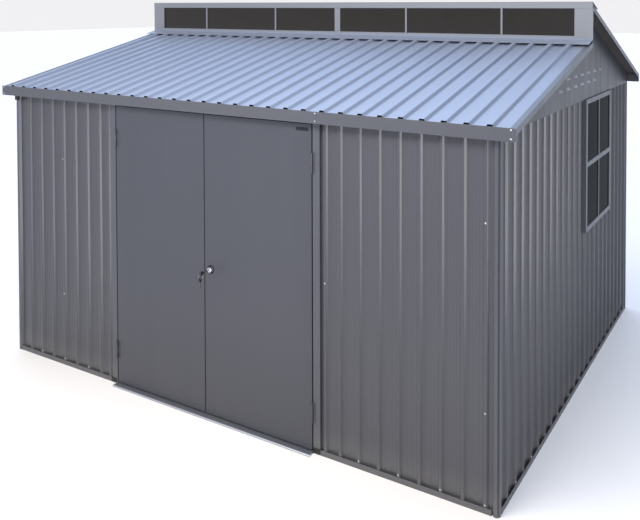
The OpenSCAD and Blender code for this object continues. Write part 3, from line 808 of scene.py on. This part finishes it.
def turned(points, faces, profile, sides, base, axis):
    """Adds a turned form: (radius, height) pairs round an axis, closed ends."""
    axis = Vector(axis).normalized()
    across = axis.orthogonal().normalized()
    other = axis.cross(across)
    rings = []
    for radius, height in profile:
        centre = Vector(base) + axis * height
        if radius < 1e-7:
            rings.append([len(points)])
            points.append(tuple(centre))
            continue
        ring = []
        for k in range(sides):
            a = 2 * math.pi * k / sides
            ring.append(len(points))
            spoke = across * math.cos(a) + other * math.sin(a)
            points.append(tuple(centre + spoke * radius))
        rings.append(ring)
    for lower, upper in zip(rings, rings[1:]):
        for k in range(sides):
            n = (k + 1) % sides
            if len(lower) == 1:
                faces.append((lower[0], upper[k], upper[n]))
            elif len(upper) == 1:
                faces.append((lower[k], lower[n], upper[0]))
            else:
                faces.append((lower[k], lower[n], upper[n], upper[k]))


def plate(points, faces, outline, low, high, place):
    """Adds a flat plate: an outline of (u, v) given thickness along d."""
    base = len(points)
    count = len(outline)
    for d in (low, high):
        points.extend(place(u, v, d) for u, v in outline)
    faces.append(tuple(base + k for k in range(count)))
    faces.append(tuple(base + count + k for k in reversed(range(count))))
    for k in range(count):
        n = (k + 1) % count
        faces.append((base + k, base + n, base + count + n, base + count + k))


chrome, tree, skin, where = bare("polished_chrome_plate", {
    "Base Color": linear("#c9cbce"), "Metallic": 1.0})
# finger smears about 8 mm wide dull the polish in places
smear = put(tree, "TexNoise", {"Scale": 130.0, "Detail": 4.0}, {"Vector": where})
dull = put(tree, "MapRange", {3: 0.08, 4: 0.24}, {0: smear.outputs[0]})
tree.links.new(dull.outputs[0], skin.inputs["Roughness"])
# darkened nickel: a deep grey metal with a soft shine, a little worn
rose_metal = mottled("blackened_nickel_rose", "#2c2d30", "#3a3b3f", 180.0, 3.0,
                     {"Metallic": 1.0, "Roughness": 0.3})[0]

low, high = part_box("lock")
lock_x = (low.x + high.x) / 2
lock_z = (low.z + high.z) / 2
lock_back = high.y
lock_r = (high.x - low.x) / 2
points, faces = [], []
turned(points, faces,
       [(0, 0), (lock_r, 0), (lock_r, 3 * MM), (lock_r - 1 * MM, 4.6 * MM),
        (lock_r - 4 * MM, 6.6 * MM), (15.5 * MM, 8 * MM), (0, 8 * MM)],
       64, (lock_x, lock_back, lock_z), (0, -1, 0))
rose = solid("cam_lock_rose", points, faces, rose_metal, 40)
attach(rose, "right_leaf")
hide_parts("lock")
points, faces = [], []
turned(points, faces,
       [(0, 7.8 * MM), (14.5 * MM, 7.8 * MM), (14 * MM, 13.6 * MM), (13 * MM, 14.8 * MM),
        (10.2 * MM, 15.2 * MM), (9.4 * MM, 14.4 * MM), (9 * MM, 14.4 * MM),
        (9 * MM, 18 * MM), (8.2 * MM, 19 * MM), (0, 19 * MM)],
       64, (lock_x, lock_back, lock_z), (0, -1, 0))
barrel = solid("cam_lock_barrel", points, faces, chrome, 40)
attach(barrel, "right_leaf")

# ---------------------------------------------------------------- Keys
# One key stands in the lock and its twin hangs from a wire ring. Nickelled
# blades with bitting, in moulded black heads.
# handling rubs the blades, so their shine changes every few millimetres
nickel, tree, skin, rub = mottled("nickelled_key_brass", "#77767a", "#8d8c8e", 260.0, 3.0,
                                  {"Metallic": 1.0})
dull = put(tree, "MapRange", {3: 0.18, 4: 0.38}, {0: rub})
tree.links.new(dull.outputs[0], skin.inputs["Roughness"])

# distances out from the wall's line to the tip, to the head's middle and to the
# shank's two ends, and the head's length, height and thickness
KEY_OUT = 86 * MM
HEAD_AT = 73 * MM
SHANK = (17 * MM, 61.5 * MM)
SHANK_HALF = 4 * MM
SHANK_THICK = 1.1 * MM
HEAD = (26 * MM, 24 * MM, 9 * MM)
# the spare hangs beside the lock and a little in from the tip, with its sizes
# measured downwards from the lock
SPARE_ASIDE = 9 * MM
HANG_IN = 11 * MM
SPARE_AT = 36 * MM
SPARE_HEAD = (26 * MM, 21.8 * MM, 8 * MM)
BLADE = (47 * MM, 79 * MM)
BLADE_HALF = 3.6 * MM
RING_R = 11 * MM
RING_ASIDE = 4.5 * MM
RING_DOWN = 17 * MM
WIRE = 0.9 * MM
# the ring hangs turned by 45 degrees, whose sine and cosine are both 0.7
TURN = 0.7
key_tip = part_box("keys")[0].y


def key_head(points, faces, place, u, v, wide, high, thick):
    """An oval head with a pillowed face."""
    steps = 28
    rings = []
    for grow, d in ((0.86, -thick / 2), (1.0, -thick / 4), (1.0, thick / 4),
                    (0.86, thick / 2)):
        ring = []
        for k in range(steps):
            a = 2 * math.pi * k / steps
            c, s = math.cos(a), math.sin(a)
            pu = math.copysign(abs(c) ** 0.7, c) * wide / 2 * grow
            pv = math.copysign(abs(s) ** 0.7, s) * high / 2 * grow
            ring.append(len(points))
            points.append(place(u + pu, v + pv, d))
        rings.append(ring)
    faces.append(tuple(rings[0]))
    faces.append(tuple(reversed(rings[-1])))
    for lower, upper in zip(rings, rings[1:]):
        for k in range(steps):
            n = (k + 1) % steps
            faces.append((lower[k], lower[n], upper[n], upper[k]))


def key_blade(start, end, half):
    """Blade outline along +u with four bites in its lower edge."""
    line = [(start, -half), (start, half), (end - half, half), (end, half * 0.3)]
    step = (end - start) / 9
    for k in range(4):
        at = end - step * (1 + 1.6 * k)
        line += [(at, -half), (at - step * 0.4, -half * (0.2 + 0.15 * (k % 3))),
                 (at - step * 0.8, -half)]
    return line


def key_place(u, v, d):
    """Key in the lock: u runs out of the door, v up, d across."""
    return (lock_x + d, key_tip + KEY_OUT - u, lock_z + v)


points, faces = [], []
key_head(points, faces, key_place, HEAD_AT, 0, *HEAD)
grip = solid("key_in_lock_head", points, faces, moulded, 40)
points, faces = [], []
plate(points, faces, [(SHANK[0], -SHANK_HALF), (SHANK[1], -SHANK_HALF),
                      (SHANK[1], SHANK_HALF), (SHANK[0], SHANK_HALF)],
      -SHANK_THICK, SHANK_THICK, key_place)
shank = solid("key_in_lock_shank", points, faces, nickel)
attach(grip, "right_leaf")
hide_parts("keys")
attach(shank, "right_leaf")


def hung_place(u, v, d):
    """Key on the ring: u runs down, v out of the door, d across."""
    return (lock_x - SPARE_ASIDE + d, key_tip + HANG_IN - v, lock_z - u)


points, faces = [], []
key_head(points, faces, hung_place, SPARE_AT, 0, *SPARE_HEAD)
grip = solid("spare_key_head", points, faces, moulded, 40)
points, faces = [], []
plate(points, faces, key_blade(*BLADE, BLADE_HALF), -1 * MM, 1 * MM, hung_place)
shank = solid("spare_key_blade", points, faces, nickel)
for piece, slot in ((grip, "black_plastic"), (shank, "lock_chrome")):
    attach(piece, "right_leaf")

# a round wire bent to a ring
points, faces = [], []
around, sides = 40, 8
for k in range(around):
    a = 2 * math.pi * k / around
    for j in range(sides):
        b = 2 * math.pi * j / sides
        r = RING_R + WIRE * math.cos(b)
        across = r * math.sin(a)
        points.append((lock_x - RING_ASIDE + TURN * across + TURN * WIRE * math.sin(b),
                       key_tip + HANG_IN + TURN * across - TURN * WIRE * math.sin(b),
                       lock_z - RING_DOWN + r * math.cos(a)))
for k in range(around):
    for j in range(sides):
        n, m = (k + 1) % around, (j + 1) % sides
        faces.append((sides * k + j, sides * k + m, sides * n + m, sides * n + j))
ring = solid("key_ring", points, faces, nickel, 60)
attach(ring, "right_leaf")

# ---------------------------------------------------------------- Badge
# A small blank plate of black anodised aluminium, glued in the top corner
# of the right leaf.
plaque, tree, skin, where = bare("black_anodised_plate", {"Metallic": 0.6,
                                                          "Roughness": 0.4})
# brushed along its length, in lines about a millimetre apart
along = put(tree, "Mapping", {"Scale": (30, 900, 900)}, {"Vector": where})
brush = put(tree, "TexNoise", {"Scale": 1.0, "Detail": 3.0}, {"Vector": along.outputs[0]})
tone = put(tree, "Mix", {"data_type": "RGBA", 6: linear("#1c1c1f"), 7: linear("#2e2e32")},
           {0: brush.outputs[0]})
tree.links.new(tone.outputs[2], skin.inputs["Base Color"])
folded("blank_plate", "badge", plaque, 0.4 * MM)

# ---------------------------------------------------------------- Screws and rivets
# Zinc-plated hexagon screws with washers hold the sheets to the rails and
# girts, and domed blind rivets join the eave board.
# zinc plating: bright, with a mottle of dull spots a few millimetres wide
plated, tree, skin, mottle = mottled("bright_zinc_plate", "#aeb1b6", "#cdd0d4", 300.0, 3.0,
                                     {"Metallic": 1.0})
dull = put(tree, "MapRange", {3: 0.2, 4: 0.42}, {0: mottle})
tree.links.new(dull.outputs[0], skin.inputs["Roughness"])
# (radius, height) from the sheet: a washer and the head on it, then a rivet
WASHER = [(0, 0), (4.6 * MM, 0), (4.6 * MM, 0.6 * MM), (3.6 * MM, 1.1 * MM), (0, 1.1 * MM)]
HEXAGON = [(0, 0), (3.3 * MM, 0), (3.3 * MM, 1.6 * MM), (2.6 * MM, 2.1 * MM), (0, 2.2 * MM)]
DOME = [(0, 0), (4.5 * MM, 0), (4 * MM, 1 * MM), (2.6 * MM, 1.8 * MM), (0, 2.1 * MM)]
SCREW_LOW = 38 * MM
GIRTS = (462 * MM, 1333 * MM)
POST_SCREW = 898 * MM


def screw(points, faces, at, out):
    """A hexagon head standing on its washer."""
    turned(points, faces, WASHER, 20, at, out)
    turned(points, faces, HEXAGON, 6, Vector(at) + Vector(out) * 1 * MM, out)


crown = PAN - RIB_HIGH
points, faces = [], []
for u in left_ribs[1::2] + right_ribs[1::2]:
    screw(points, faces, on_front(u, SCREW_LOW, crown), (0, -1, 0))
for v in GIRTS:
    for u in (left_ribs[3], right_ribs[-1]):
        screw(points, faces, on_front(u, v, crown), (0, -1, 0))
screw(points, faces, on_front(jamb_high.x + RIGHT_END_RIB, POST_SCREW, crown), (0, -1, 0))
for u in side_ribs[1::2]:
    screw(points, faces, on_right(u, SCREW_LOW, crown), (1, 0, 0))
    screw(points, faces, on_left(u, SCREW_LOW, crown), (-1, 0, 0))
for u in back_ribs[1::2]:
    for v in (SCREW_LOW, *GIRTS):
        screw(points, faces, on_back(u, v, crown), (0, 1, 0))
wall_screws = solid("wall_screws", points, faces, plated, 25)
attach(wall_screws, "shed")

RIVET_IN = 18 * MM
RIVET_LOW = 13 * MM
RIVET_TOP = 9 * MM
RIVET_OUT = 0.5 * MM
low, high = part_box("front_fascia")
points, faces = [], []
for u in (jamb_high.x, high.x - RIVET_IN, low.x + RIVET_IN):
    for v in (low.z + RIVET_LOW, high.z - RIVET_TOP):
        turned(points, faces, DOME, 20, (u, low.y - RIVET_OUT, v), (0, -1, 0))
rivets = solid("eave_rivets", points, faces, plated, 35)
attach(rivets, "shed")
